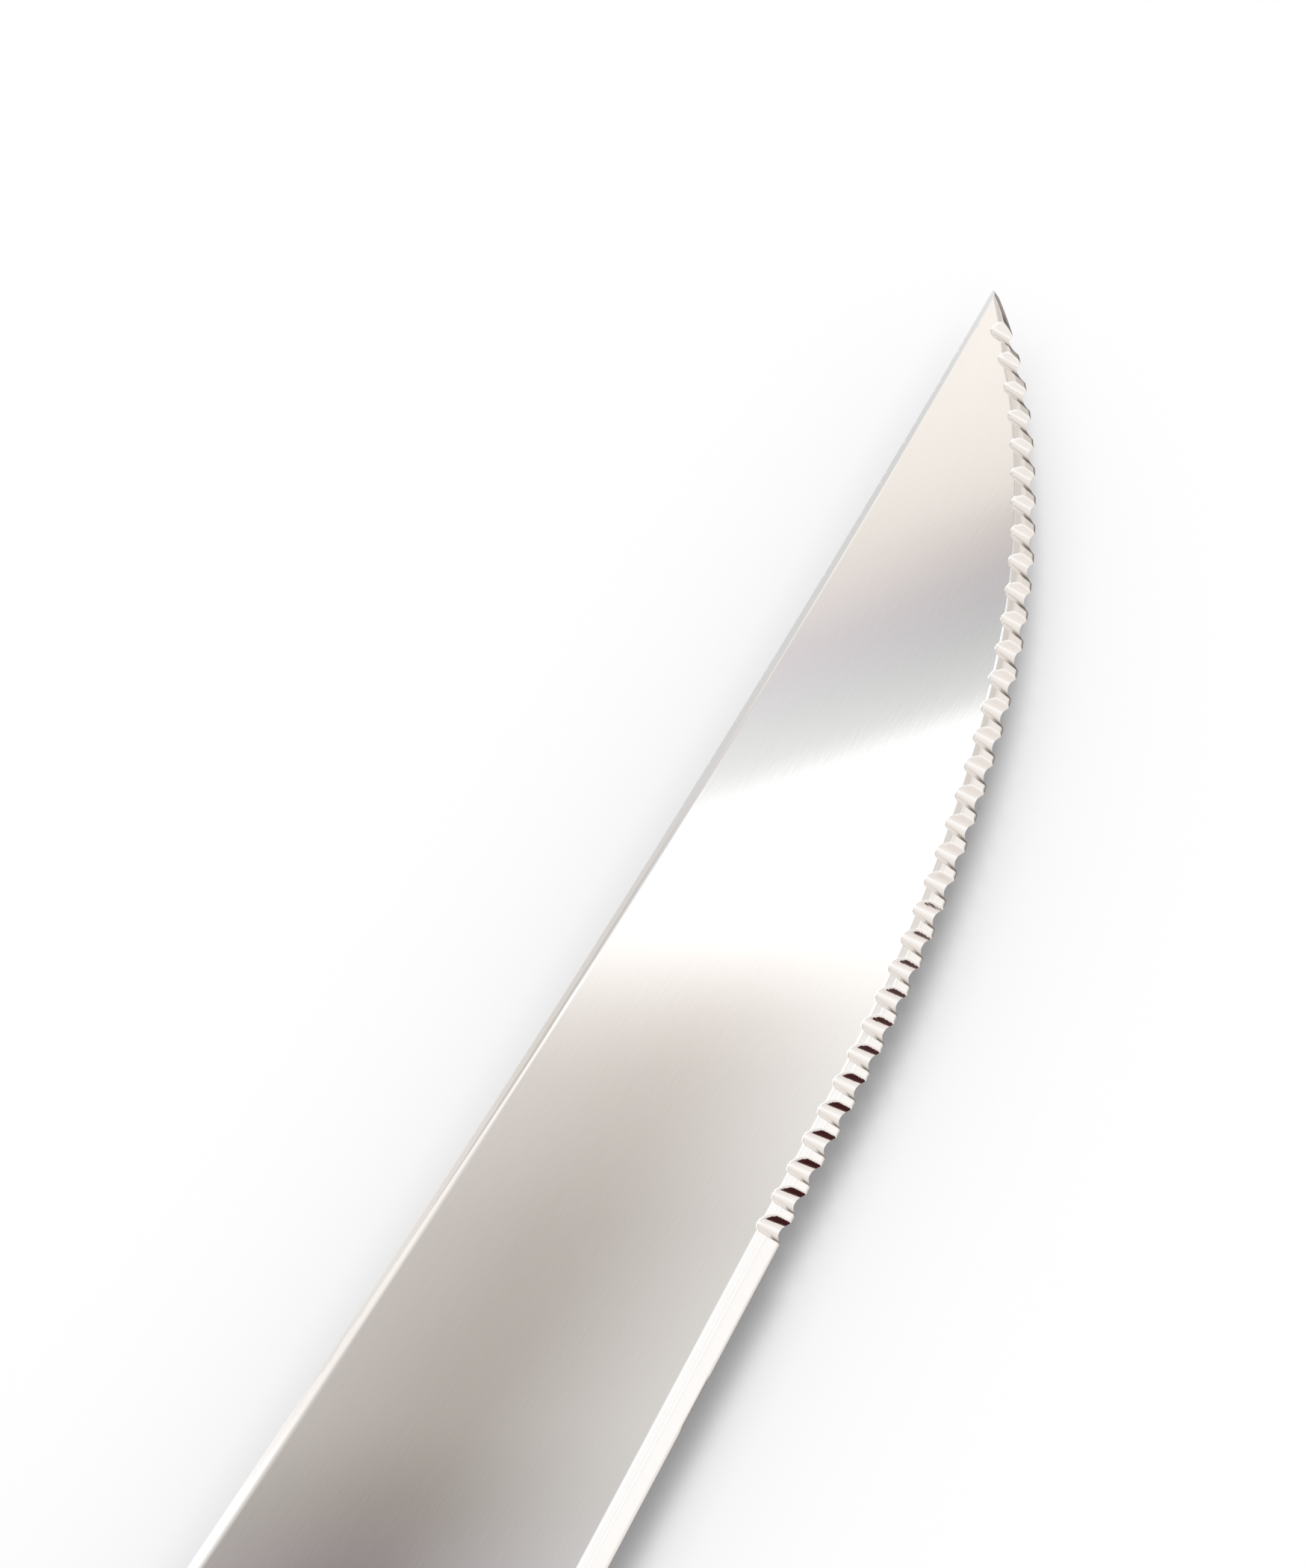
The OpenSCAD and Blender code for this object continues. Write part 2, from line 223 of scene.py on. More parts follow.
def spine_grind(x, y):
    """Height of the spine's chamfer and of its steeper corner, counted from the face."""
    share = grow(SPINE_TIP_SHARE, np.clip((CORNER_X - x) / (CORNER_X - FRONT_X), 0, 1))
    w = SPINE_ARRIS_W * share
    e = spine_y(x) - y
    chamfer = SPINE_ARRIS_DROP * (e - w) / w
    corner = -SPINE_ARRIS_DROP * SPINE_CORNER_DROP + SPINE_CORNER_SLOPE * e / share
    return smooth_min(chamfer, corner, SPINE_CORNER_SOFT)


def spine_fall(x, y):
    """How far either face falls at the spine, as zero or less, with none at the handle."""
    on_blade = np.clip((x - FRONT_X) / SPINE_RUN, 0, 1)
    fall = smooth_min(spine_grind(x, y), np.zeros(np.shape(x)), SPINE_SOFT)
    return np.minimum(fall, 0) * on_blade


def ground_height(s, d):
    """The upper face as ground at the belly, without the spine's fall."""
    return smooth_min(plain_grind(s, d), flute_grind(s, d), RIDGE_SOFT)


def edge_depth(s):
    """Distance inward at which the ground face is as thin as the cutting edge."""
    low, high = np.zeros(len(s)), np.full(len(s), FLUTE_IN + DEPTH_BEYOND)
    for _ in range(DEPTH_HALVINGS):
        mid = (low + high) / 2
        thin = ground_height(s, mid) < MIN_EDGE
        low, high = np.where(thin, mid, low), np.where(thin, high, mid)
    return np.where(high < DEPTH_LEAST, 0.0, high)


# Outline of the handle: two chains of cubic curves, as shares of its length and height
X_SHARES = ((0, 0.12, 0.24, 0.36), (0.36, 0.52, 0.7, 0.86), (0.86, 0.95, 1, 1))
TOP_SHARES = ((0.5, 0.53, 0.56, 0.577), (0.577, 0.601, 0.61, 0.537), (0.537, 0.495, 0.34, -0.1))
BOTTOM_SHARES = ((-0.5, -0.458, -0.49, -0.548), (-0.548, -0.625, -0.453, -0.574),
                 (-0.574, -0.64, -0.58, -0.1))


def cubic(p, t):
    return (p[0] * (1 - t)**3 + 3 * p[1] * t * (1 - t)**2
            + 3 * p[2] * t**2 * (1 - t) + p[3] * t**3)


def handle_side(shares):
    t = np.arange(SIDE_STEPS) / SIDE_STEPS
    return np.concatenate([
        np.stack([FRONT_X - HANDLE_LEN * cubic(xs, t), HANDLE_H * cubic(ys, t)], -1)
        for xs, ys in zip(X_SHARES, shares)])


BUTT = np.array([[FRONT_X - HANDLE_LEN, HANDLE_H * TOP_SHARES[-1][-1]]])
HANDLE_LINE = np.concatenate([handle_side(TOP_SHARES), BUTT, handle_side(BOTTOM_SHARES)[::-1]])


# Meshes
def mesh_object(name, verts, faces, normals=None):
    """A mesh from millimetres. normals has one normal for each corner of each face."""
    mesh = bpy.data.meshes.new(name)
    mesh.from_pydata([tuple(v) for v in np.asarray(verts) * MM], [], [tuple(f) for f in faces])
    mesh.polygons.foreach_set("use_smooth", [True] * len(mesh.polygons))
    mesh.update()
    if normals is not None:
        mesh.normals_split_custom_set([tuple(n) for n in normals])
    obj = bpy.data.objects.new(name, mesh)
    bpy.context.scene.collection.objects.link(obj)
    return obj


def hole_loop(x, r):
    """Points round a hole for a rivet, clockwise as seen from above."""
    a = np.arange(HOLE_STEPS) * 2 * math.pi / HOLE_STEPS
    return np.stack([x + r * np.cos(a), RIVET_LINE + r * np.sin(a)], -1)[::-1]


def inside_loop(points, loop):
    x, y = points[:, 0], points[:, 1]
    odd = np.zeros(len(points), bool)
    for (x1, y1), (x2, y2) in zip(loop, np.roll(loop, -1, 0)):
        if y1 == y2:
            continue
        crosses = (y1 > y) != (y2 > y)
        odd ^= crosses & (x < x1 + (y - y1) * (x2 - x1) / (y2 - y1))
    return odd


def triangulate(loops, loose):
    """Triangles over the first loop, outside the other loops, through the loose points."""
    points = np.concatenate([*loops, loose])
    edges, start = [], 0
    for loop in loops:
        n = len(loop)
        edges += [(start + i, start + (i + 1) % n) for i in range(n)]
        start += n
    found = delaunay_2d_cdt([Vector(p) for p in points], edges, [], 0, MERGE_WITHIN)
    xy = np.array([tuple(v) for v in found[0]])
    tri = np.array(found[2])
    mid = xy[tri].mean(1)
    keep = inside_loop(mid, loops[0])
    for hole in loops[1:]:
        keep &= ~inside_loop(mid, hole)
    tri = tri[keep]
    a, b, c = (xy[tri[:, k]] for k in range(3))
    u, v = b - a, c - a
    turn = u[:, 0] * v[:, 1] - u[:, 1] * v[:, 0]
    tri[turn < 0] = tri[turn < 0][:, ::-1]
    origin = np.full(len(xy), -1)
    for i, sources in enumerate(found[3]):
        if sources:
            origin[i] = sources[0]
    return xy, tri, origin


def surface_normals(xy, height):
    right, ahead = np.array([SLOPE_STEP, 0]), np.array([0, SLOPE_STEP])
    gx = (height(xy + right) - height(xy - right)) / (2 * SLOPE_STEP)
    gy = (height(xy + ahead) - height(xy - ahead)) / (2 * SLOPE_STEP)
    n = np.stack([-gx, -gy, np.ones(len(xy))], -1)
    return n / np.linalg.norm(n, axis=1)[:, None]


def closed_plate(name, loops, loose, top, bottom, base_z):
    """A closed plate over the loops, between two height functions of plan points."""
    xy, tri, origin = triangulate(loops, loose)
    n = len(xy)
    verts = np.concatenate([np.column_stack([xy, top(xy)]), np.column_stack([xy, bottom(xy)])])
    verts[:, 2] += base_z
    up, down = surface_normals(xy, top), -surface_normals(xy, bottom)
    index = {int(o): i for i, o in enumerate(origin) if o >= 0}
    faces = [*map(tuple, tri), *map(tuple, tri[:, ::-1] + n)]
    normals = [*up[tri].reshape(-1, 3), *down[tri[:, ::-1]].reshape(-1, 3)]
    start = 0
    for k, loop in enumerate(loops):
        m = len(loop)
        ids = [index[start + i] for i in range(m)]
        here, ahead = xy[ids], xy[np.roll(ids, -1)]
        step = ahead - here
        area = (here[:, 0] * ahead[:, 1] - ahead[:, 0] * here[:, 1]).sum()
        sign = 1 if (area > 0) == (k == 0) else -1
        out = sign * np.stack([step[:, 1], -step[:, 0]], -1)
        out /= np.linalg.norm(out, axis=1)[:, None]
        soft = out + np.roll(out, 1, 0)
        soft /= np.maximum(np.linalg.norm(soft, axis=1)[:, None], 1e-9)
        crease = (out * np.roll(out, 1, 0)).sum(1) < CREASE
        for i in range(m):
            j = (i + 1) % m
            a, b = ids[i], ids[j]
            na = out[i] if crease[i] else soft[i]
            nb = out[i] if crease[j] else soft[j]
            quad, side = [a, a + n, b + n, b], [na, na, nb, nb]
            if sign < 0:
                quad, side = quad[::-1], side[::-1]
            faces.append(tuple(quad))
            normals += [np.array([v[0], v[1], 0.0]) for v in side]
        start += m
    return mesh_object(name, verts, faces, normals)


# Blade
def belly_lengths():
    """Lengths along the belly at which its outline has points: dense over the flutes."""
    flute_end = FLUTE_START + FLUTE_PITCH * FLUTES
    first, last = FLUTE_START - FLUTE_MARGIN, flute_end + FLUTE_MARGIN
    return np.concatenate([
        np.arange(TIP_RUN + TIP_MARGIN, first, TIP_SPACING),
        np.linspace(first, last, int((FLUTES + FLUTE_MARGIN) * ROWS_PER_FLUTE)),
        np.arange(flute_end + PLAIN_MARGIN, HEEL_S - HEEL_MARGIN, PLAIN_SPACING)])


def blade_outline(s):
    """The blade's outline: handle, choil, belly with its flutes, tip and spine."""
    a = np.radians(90 * np.arange(CHOIL_STEPS + 1) / CHOIL_STEPS)
    heel_y = float(belly([HEEL_S])[0][0, 1])
    choil = np.stack([HEEL_X - CHOIL_LEN * (1 - np.cos(a)),
                      heel_y - (heel_y + HANDLE_H / 2) * np.sin(a)], -1)
    edge = belly_point(s, edge_depth(s))
    tip = math.radians(TIP_ANGLE)
    center = CORNER + TIP_R / math.sin(TIP_HALF) * onward(np.array(tip - TIP_HALF))
    turn = tip - math.pi / 2 + (math.pi - 2 * TIP_HALF) * np.arange(TIP_STEPS + 1) / TIP_STEPS
    tip_arc = center + TIP_R * np.stack([np.cos(turn), np.sin(turn)], -1)
    x = np.linspace(CORNER_X - TIP_RUN, FRONT_X, SPINE_STEPS + 1)[1:-1]
    spine = np.stack([x, spine_y(x)], -1)
    return np.concatenate([HANDLE_LINE, choil[::-1][1:], edge[::-1], tip_arc, spine])


def belt_points(s):
    """A grid over the ground belt, without points too close to the outline."""
    rows = []
    for d in np.arange(BELT_STEP, BELT_W, BELT_STEP):
        p = belly_point(s, np.full(len(s), d))
        rows.append(p[d > edge_depth(s) + BELT_STEP * BELT_OFF_EDGE])
    belt = np.concatenate(rows)
    return belt[spine_y(belt[:, 0]) - belt[:, 1] > BELT_OFF_SPINE]


def spine_points():
    """Rows of points along the spine's rounding, outside the belt."""
    x = np.linspace(CORNER_X - SPINE_ROW_START, FRONT_X + SPINE_ROW_END, SPINE_ROW_POINTS)
    points = np.concatenate([np.stack([x, spine_y(x) - e], -1) for e in SPINE_ROWS])
    s, d = belly_coords(points).T
    return points[(d > BELT_W) | (s > SPINE_ROW_LAP)]


def blade_top(xy):
    """Height of the upper face: full behind the handle's front, ground before it."""
    z = np.full(len(xy), BLADE_T)
    near = xy[:, 0] > FRONT_X + FRONT_MARGIN
    s, d = belly_coords(xy[near]).T
    d = np.where(s > HEEL_S - CHOIL_MARGIN, np.maximum(d, 0.0), d)
    z[near] = np.minimum(ground_height(s, d), BLADE_T + spine_fall(*xy[near].T))
    return z


def blade_bottom(xy):
    return -spine_fall(*xy.T)


belly_s = belly_lengths()
blade = closed_plate(
    "blade_ground", [blade_outline(belly_s), *[hole_loop(x, SLEEVE_HOLE_R) for x in RIVET_X]],
    np.concatenate([belt_points(belly_s), spine_points()]), blade_top, blade_bottom, SCALE_T)
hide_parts("blade")


# Slabs: rings from the inner face up the rounded side, then the flat with its holes
def slab_piece(name, node, flip):
    line = HANDLE_LINE
    m = len(line)
    before, after = line[np.maximum(np.arange(m) - 1, 0)], line[np.minimum(np.arange(m) + 1, m - 1)]
    d = (after - before) / np.linalg.norm(after - before, axis=1)[:, None]
    pull = np.stack([-d[:, 1], d[:, 0]], -1)

    def ring(a):
        q = line + ROUND_W * (1 - math.cos(a)) * pull
        ahead = (q[:, 0] - BUTT[0, 0]) / HANDLE_LEN
        q[:, 0] -= FRONT_ROUND * (1 - math.cos(a)) * ahead
        return q

    angles = [math.pi / 2 * k / RING_STEPS for k in range(RING_STEPS + 1)]
    rings = [(ring(0), 0.0)] + [(ring(a), SCALE_T - ROUND_H * (1 - math.sin(a))) for a in angles]
    verts = [np.column_stack([q, np.full(m, z)]) for q, z in rings]
    faces = []
    for k in range(len(rings) - 1):
        for i in range(m):
            j = (i + 1) % m
            faces.append((k * m + j, (k + 1) * m + j, (k + 1) * m + i, k * m + i))
    base = len(rings) * m

    def cap(outer, outer_first, radius, z, up):
        """Closes one end of the slab and returns the loops round its holes."""
        nonlocal base
        holes = [hole_loop(x, radius) for x in RIVET_X]
        xy, tri, origin = triangulate([outer, *holes], np.zeros((0, 2)))
        ids = np.zeros(len(xy), int)
        for i, o in enumerate(origin):
            if 0 <= o < m:
                ids[i] = outer_first + o
            else:
                ids[i] = base
                verts.append(np.array([[*xy[i], z]]))
                base += 1
        for t in tri:
            faces.append(tuple(ids[t]) if up else tuple(ids[t][::-1]))
        where = {int(o): ids[i] for i, o in enumerate(origin)}
        return [[where[m + HOLE_STEPS * h + i] for i in range(HOLE_STEPS)]
                for h in range(len(RIVET_X))]

    bores = cap(rings[0][0], 0, SLEEVE_HOLE_R, 0.0, False)
    sinks = cap(rings[-1][0], (len(rings) - 1) * m, HEAD_HOLE_R, SCALE_T, True)
    for h, x in enumerate(RIVET_X):
        loops = [bores[h]]
        for r in (SLEEVE_HOLE_R, HEAD_HOLE_R):
            ledge = np.full(HOLE_STEPS, SCALE_T - HEAD_T)
            verts.append(np.column_stack([hole_loop(x, r), ledge]))
            loops.append(list(range(base, base + HOLE_STEPS)))
            base += HOLE_STEPS
        loops.append(sinks[h])
        for low, high in zip(loops, loops[1:]):
            for i in range(HOLE_STEPS):
                j = (i + 1) % HOLE_STEPS
                faces.append((low[j], high[j], high[i], low[i]))
    verts = np.concatenate(verts)
    if flip:
        verts[:, 2] = SCALE_T - verts[:, 2]
        faces = [f[::-1] for f in faces]
    else:
        verts[:, 2] += SCALE_T + BLADE_T
    obj = mesh_object(name, verts, faces)
    obj.data.set_sharp_from_angle(angle=SLAB_SHARP)
    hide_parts(node)
    return obj


slab_low = slab_piece("slab_lower", "scale_lower", True)
slab_up = slab_piece("slab_upper", "scale_upper", False)


# Rivets, turned: a profile of radius and height, which starts and ends on the axis
HEAD_DOME = 0.04
SHANK = HANDLE_T - HEAD_T - END_GAP
BORE_R = PIN_D / 2 + PIN_GAP


def lathe(name, node, x, profile, flip):
    a = np.arange(LATHE_STEPS) * 2 * math.pi / LATHE_STEPS
    verts, rows = [], []
    for r, z in profile:
        if r == 0:
            rows.append([len(verts)] * LATHE_STEPS)
            verts.append((x, RIVET_LINE, z))
        else:
            rows.append(list(range(len(verts), len(verts) + LATHE_STEPS)))
            verts += [(x + r * math.cos(t), RIVET_LINE + r * math.sin(t), z) for t in a]
    faces = []
    for low, high in zip(rows, rows[1:]):
        for i in range(LATHE_STEPS):
            j = (i + 1) % LATHE_STEPS
            faces.append(tuple(dict.fromkeys((low[i], low[j], high[j], high[i]))))
    verts = np.array(verts)
    if flip:
        verts[:, 2] = HANDLE_T - verts[:, 2]
        faces = [f[::-1] for f in faces]
    obj = mesh_object(name, verts, faces)
    obj.data.set_sharp_from_angle(angle=RIVET_SHARP)
    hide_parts(node)
    return obj


def head_profile():
    """The head from its middle out to its rim and up its side, very slightly domed."""
    flat = HEAD_D / 2 - HEAD_RIM
    shares = [k / DOME_STEPS for k in range(DOME_STEPS + 1)]
    turns = [math.pi / 2 * k / RIM_STEPS for k in range(1, RIM_STEPS + 1)]
    return [(flat * share, HEAD_DOME * share ** 2) for share in shares] + [
        (flat + HEAD_RIM * math.sin(t), HEAD_DOME + (HEAD_RIM - HEAD_DOME) * (1 - math.cos(t)))
        for t in turns] + [(HEAD_D / 2, HEAD_T)]


SLEEVE_PROFILE = head_profile() + [
    (SLEEVE_D / 2, HEAD_T), (SLEEVE_D / 2, SHANK), (BORE_R, SHANK), (BORE_R, HEAD_T), (0, HEAD_T)]
PIN_PROFILE = head_profile() + [(PIN_D / 2, HEAD_T), (PIN_D / 2, SHANK), (0, SHANK)]
rivets = []
for where, x in zip(("front", "middle", "rear"), RIVET_X):
    rivets.append(lathe("sleeve_" + where, "rivet_sleeve_" + where, x, SLEEVE_PROFILE, False))
    rivets.append(lathe("pin_" + where, "rivet_pin_" + where, x, PIN_PROFILE, True))


# Materials
class Graph:
    """Short calls for the shader nodes of a material or world, which it empties first."""

    def __init__(self, owner):
        owner.use_nodes = True
        self.tree = owner.node_tree
        self.tree.nodes.clear()

    def node(self, kind, inputs=(), **settings):
        n = self.tree.nodes.new(kind)
        for key, value in settings.items():
            setattr(n, key, value)
        for key, value in dict(inputs).items():
            if isinstance(value, bpy.types.NodeSocket):
                self.tree.links.new(value, n.inputs[key])
            else:
                n.inputs[key].default_value = value
        return n

    def out(self, kind, inputs=(), output=0, **settings):
        return self.node(kind, inputs, **settings).outputs[output]

    def math(self, operation, a, b=0.0, c=0.0):
        return self.out("ShaderNodeMath", {0: a, 1: b, 2: c}, operation=operation)

    def step(self, value, low, high):
        """0 below low and 1 above high, smoothly. low may lie above high."""
        return self.out("ShaderNodeMapRange", {"Value": value, "From Min": low, "From Max": high},
                        interpolation_type="SMOOTHSTEP", clamp=True)

    def range(self, value, low, high, to_low=0.0, to_high=1.0):
        return self.out("ShaderNodeMapRange", {
            "Value": value, "From Min": low, "From Max": high,
            "To Min": to_low, "To Max": to_high}, clamp=True)

    def mix(self, share, a, b, blend="MIX"):
        return self.out("ShaderNodeMix", {0: share, 6: a, 7: b}, 2, data_type="RGBA",
                        blend_type=blend)

    def spread(self, value, stops):
        """Colours over a value: each stop is the value's place and a linear colour."""
        low, high = stops[0][0], stops[-1][0]
        n = self.node("ShaderNodeValToRGB", {0: self.range(value, low, high)})
        elements = n.color_ramp.elements
        while len(elements) < len(stops):
            elements.new(0.5)
        for element, (position, colour) in zip(elements, stops):
            element.position = (position - low) / (high - low)
            element.color = (*colour, 1)
        return n.outputs[0]

    def coords(self, scale):
        position = self.out("ShaderNodeTexCoord", output="Object")
        return self.out("ShaderNodeMapping", {"Vector": position, "Scale": scale})

    def noise(self, vector, detail, rough, output=0):
        return self.out("ShaderNodeTexNoise", {
            "Vector": vector, "Scale": 1.0, "Detail": detail, "Roughness": rough}, output)

    def bump(self, height, strength, depth, normal=None):
        inputs = {"Strength": strength, "Distance": depth, "Height": height}
        if normal is not None:
            inputs["Normal"] = normal
        return self.out("ShaderNodeBump", inputs)

    def surface(self, shader, output="ShaderNodeOutputMaterial"):
        self.node(output, {"Surface": shader})


def linear(r, g, b):
    """A colour given as display values of 0 to 255."""
    def one(v):
        v /= 255
        return v / 12.92 if v <= 0.04045 else ((v + 0.055) / 1.055) ** 2.4
    return one(r), one(g), one(b)


SPOT_SCALE, SMUDGE_SCALE = (60, 240, 240), (35, 90, 90)
STREAK_SHADE, SPOT_SHADE, SPOT_SHARE = 0.988, 0.93, 0.25
SMUDGE_ROUGH, STREAK_ROUGH = 1.35, 0.25


def steel_material(name, tint, rough, aniso, brush, waves=None):
    """Ground steel. brush and waves are each a noise scale and a depth in metres."""
    material = bpy.data.materials.new(name)
    g = Graph(material)
    fine = g.noise(g.coords(brush[0]), 3.0, 0.6)
    spot = g.noise(g.coords(SPOT_SCALE), 3.0, 0.55)
    smudge = g.noise(g.coords(SMUDGE_SCALE), 2.0, 0.5)
    shade = g.mix(g.range(fine, 0.35, 0.65), (*[c * STREAK_SHADE for c in tint], 1), (*tint, 1))
    shade = g.mix(g.range(spot, 0.55, 0.8, 0.0, SPOT_SHARE), shade,
                  (*[c * SPOT_SHADE for c in tint], 1))
    roughness = g.math("ADD", g.range(smudge, 0.35, 0.7, rough, rough * SMUDGE_ROUGH),
                       g.range(fine, 0.3, 0.7, 0.0, rough * STREAK_ROUGH))
    normal = g.bump(fine, 1.0, brush[1])
    if waves:
        normal = g.bump(g.noise(g.coords(waves[0]), 2.0, 0.5), 1.0, waves[1], normal)
    sideways = g.out("ShaderNodeCombineXYZ", {"Y": 1.0})
    g.surface(g.out("ShaderNodeBsdfPrincipled", {
        "Base Color": shade, "Metallic": 1.0, "Roughness": roughness, "Normal": normal,
        "Anisotropic": aniso, "Tangent": sideways}))
    return material


GRAIN = ((0.3, (0.062, 0.026, 0.014)), (0.42, (0.115, 0.05, 0.026)), (0.5, (0.17, 0.078, 0.04)),
         (0.572, (0.215, 0.105, 0.055)), (0.62, (0.13, 0.058, 0.03)), (0.7, (0.24, 0.125, 0.068)))
FIBRE_TONE, PORE_TONE = (0.075, 0.032, 0.018, 1), (0.02, 0.009, 0.006, 1)
PORE_DEPTH = 0.00006


def wood_material():
    """Dark hardwood: wavy grain along X, fine fibres and short open pores."""
    material = bpy.data.materials.new("dark_hardwood")
    g = Graph(material)
    warp = g.noise(g.coords((14, 60, 60)), 2.0, 0.5, "Color")
    bent = g.out("ShaderNodeVectorMath", {0: g.coords((6, 150, 150)), 1: warp}, operation="ADD")
    ring = g.noise(bent, 4.0, 0.55)
    fibre = g.noise(g.coords((90, 2600, 2600)), 3.0, 0.6)
    pore = g.out("ShaderNodeTexVoronoi", {
        "Vector": g.coords((160, 1700, 1700)), "Scale": 1.0, "Randomness": 1.0})
    pore_share = g.step(pore, 0.26, 0.1)
    shade = g.mix(g.range(fibre, 0.3, 0.7, 0.0, 0.45), g.spread(ring, GRAIN), FIBRE_TONE)
    shade = g.mix(g.math("MULTIPLY", pore_share, 0.75), shade, PORE_TONE)
    height = g.math("SUBTRACT", g.math("MULTIPLY", fibre, 0.35), pore_share)
    roughness = g.math("ADD", g.range(fibre, 0.3, 0.7, 0.34, 0.48),
                       g.math("MULTIPLY", pore_share, 0.2))
    g.surface(g.out("ShaderNodeBsdfPrincipled", {
        "Base Color": shade, "Roughness": roughness, "Normal": g.bump(height, 0.6, PORE_DEPTH),
        "Coat Weight": 0.18, "Coat Roughness": 0.28}))
    return material


face_steel = steel_material(
    "steel_face", (0.965, 0.96, 0.955), 0.026, 0.5, ((500, 5200, 5200), 0.00000016))
ground_steel = steel_material(
    "steel_ground", (0.965, 0.955, 0.945), 0.04, 0.4, ((3600, 600, 600), 0.0000012),
    ((700, 700, 700), 0.000002))
rivet_steel = steel_material(
    "steel_rivet", (0.86, 0.85, 0.83), 0.3, 0.7, ((220, 5200, 5200), 0.000003),
    ((300, 300, 300), 0.000004))
wood = wood_material()

GROUND_FROM_SPINE, GROUND_BELOW, GROUND_ABOVE = 1.0, 0.012, 0.001


def ground_faces(mesh):
    """1 for each face on the belly's side that reaches below the upper face, otherwise 0."""
    centers, points = np.zeros(len(mesh.polygons) * 3), np.zeros(len(mesh.vertices) * 3)
    mesh.polygons.foreach_get("center", centers)
    mesh.vertices.foreach_get("co", points)
    x, y, z = centers.reshape(-1, 3).T / MM
    heights = points.reshape(-1, 3)[:, 2] / MM
    lowest = np.array([heights[list(p.vertices)].min() for p in mesh.polygons])
    on_belly = (x > FRONT_X) & (y < spine_y(x) - GROUND_FROM_SPINE) & (z > SCALE_T + GROUND_ABOVE)
    return (on_belly & (lowest < SCALE_T + BLADE_T - GROUND_BELOW)).astype(int).tolist()


blade.data.materials.append(face_steel)
blade.data.materials.append(ground_steel)
blade.data.polygons.foreach_set("material_index", ground_faces(blade.data))
for obj in (slab_low, slab_up):
    obj.data.materials.append(wood)
for obj in rivets:
    obj.data.materials.append(rivet_steel)

for obj, slot in ((blade, "blade_steel"), (slab_low, "handle_wood"), (slab_up, "handle_wood"),
                  *[(r, "rivet_steel") for r in rivets]):
    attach(obj, "root")


# Camera, at the photograph's angle: 24 degrees off the upper face, from the handle's side
VIEW_CENTER = Vector((108.8, 10.354, 7.9)) * MM
VIEW_UP = Vector((0.865, 0.5017, 0.0)).normalized()
VIEW_RIGHT = Vector((VIEW_UP.y, -VIEW_UP.x, 0.0))
VIEW_TILT, VIEW_DISTANCE = math.radians(24), 339.8 * MM
LENS, SENSOR, CLIP_START, CLIP_END = 130, 36, 0.01, 20
back = -math.sin(VIEW_TILT) * VIEW_UP + math.cos(VIEW_TILT) * Vector((0, 0, 1))
camera_up = math.cos(VIEW_TILT) * VIEW_UP + math.sin(VIEW_TILT) * Vector((0, 0, 1))
camera_data = bpy.data.cameras.new("photo_camera")
camera_data.lens, camera_data.sensor_width = LENS, SENSOR
camera_data.clip_start, camera_data.clip_end = CLIP_START, CLIP_END
camera = bpy.data.objects.new("photo_camera", camera_data)
bpy.context.scene.collection.objects.link(camera)
camera.matrix_world = Matrix.Translation(VIEW_CENTER + VIEW_DISTANCE * back) @ Matrix(
    (VIEW_RIGHT, camera_up, back)).transposed().to_4x4()
bpy.context.scene.camera = camera


# Floor: seen straight it is brighter, and gives way to the white backdrop far out
FLOOR_HALF, FAR_START, FAR_END = 3.0, 0.3, 0.8
FLOOR_TONE, FLOOR_SEEN = (0.82, 0.815, 0.82, 1), (1.055, 1.05, 1.055, 1)
PURE_WHITE = (1, 1, 1, 1)


def seen_straight(g):
    """1 for rays from the camera, also through glass."""
    rays = g.node("ShaderNodeLightPath").outputs
    return g.math("MAXIMUM", rays["Is Camera Ray"], rays["Is Transmission Ray"])


floor_mesh = bpy.data.meshes.new("table_top")
floor_mesh.from_pydata([(x * FLOOR_HALF, y * FLOOR_HALF, 0)
                        for x, y in ((-1, -1), (1, -1), (1, 1), (-1, 1))], [], [(0, 1, 2, 3)])
floor = bpy.data.objects.new("table_top", floor_mesh)
bpy.context.scene.collection.objects.link(floor)
floor.visible_glossy = False
floor_material = bpy.data.materials.new("white_table")
g = Graph(floor_material)
plain = g.out("ShaderNodeBsdfDiffuse", {"Color": FLOOR_TONE})
bright = g.out("ShaderNodeBsdfDiffuse", {"Color": FLOOR_SEEN})
clear = g.out("ShaderNodeBsdfTransparent", {"Color": PURE_WHITE})
radius = g.out("ShaderNodeVectorMath", {0: g.out("ShaderNodeTexCoord", output="Object")},
               "Value", operation="LENGTH")
seen = g.out("ShaderNodeMixShader", {0: g.step(radius, FAR_START, FAR_END), 1: bright, 2: clear})
g.surface(g.out("ShaderNodeMixShader", {0: seen_straight(g), 1: plain, 2: seen}))
floor_mesh.materials.append(floor_material)


# Studio: matt surfaces see a plain white room, gloss sees the room that the steel mirrors
WHITE = (1.12, 1.12, 1.11)
WHITE4 = (*WHITE, 1)
WARM = (0, 7, 13)
MAUVE_LIGHT, MAUVE_MIDDLE, MAUVE_DARK = (212, 206, 209), (190, 184, 187), (140, 132, 136)
ROOM_LEVEL, GLOSS_LEVEL, GLOSS_AFTER_MATT = 0.38, 1.05, 0.3


def tone(level, warmth=1.0):
    """A grey of the room as a display value of 0 to 255, a little warm."""
    return linear(*(level - warmth * c for c in WARM))


def tones(rows):
    """Steps of position, level and warmth. None is the window's white, a triple is a colour."""
    steps = []
    for position, level, *warmth in rows:
        if level is None:
            colour = WHITE
        elif isinstance(level, tuple):
            colour = linear(*level)
        else:
            colour = tone(level, *warmth)
        steps.append((position, colour))
    return steps


